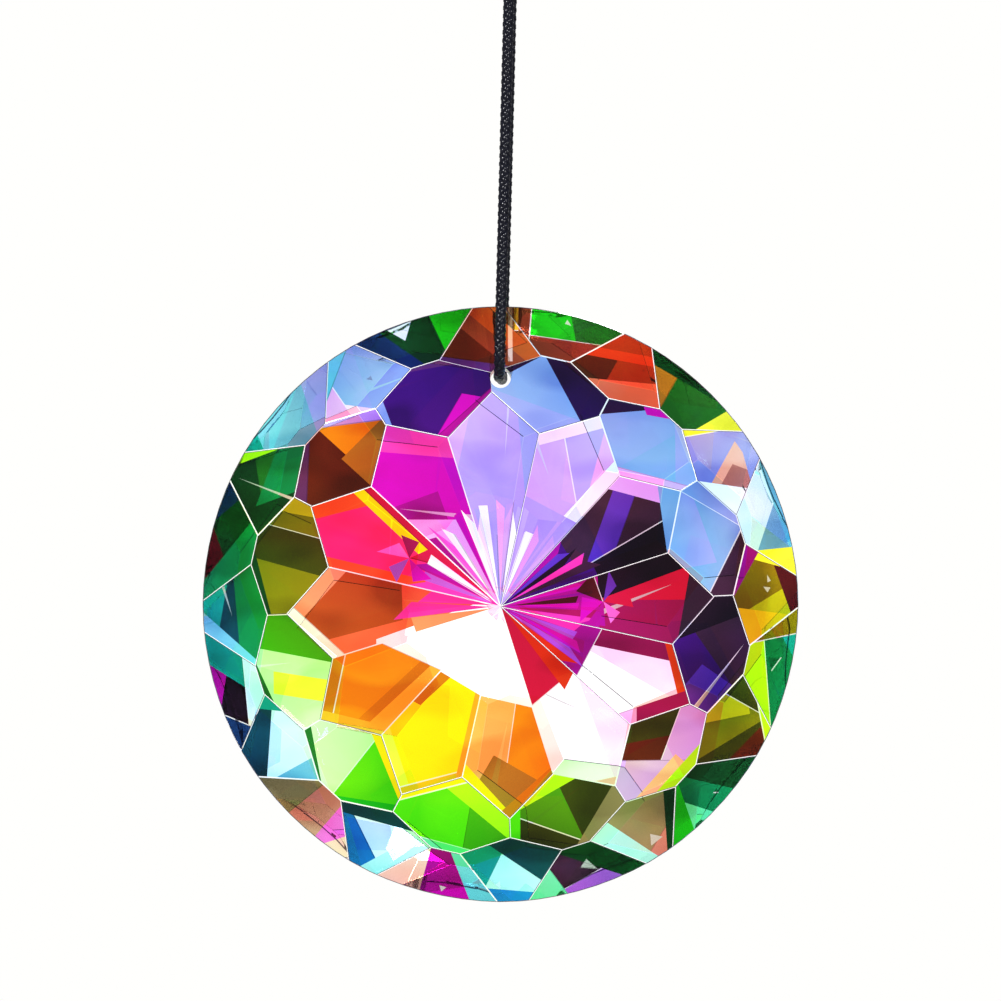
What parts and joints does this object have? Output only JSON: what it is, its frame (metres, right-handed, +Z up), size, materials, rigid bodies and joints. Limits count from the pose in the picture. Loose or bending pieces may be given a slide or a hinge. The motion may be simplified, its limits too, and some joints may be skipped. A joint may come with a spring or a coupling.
{
  "type": "crystal suncatcher",
  "caption": "Round cut-glass disc, domed and facetted on both faces, hung on a loop of braided cord through a small bore near its rim.",
  "frame": {"origin": "seat of the cord's hanging eye, where a hook bears up into the loop just under its knot", "axes": "+Z up along the hanging cord, -Y out of the disc's front face, Y through the disc's thickness"},
  "size_m": [0.06, 0.0207, 0.1076],
  "materials": {
    "crystal": "clear polished cut glass with a rainbow coating on its back facets",
    "cord": "black waxed braid"
  },
  "bodies": {
    "root": {"crystal_disc": "crystal", "hanging_cord": "cord", "cord_knot": "cord"}
  },
  "joints": []
}
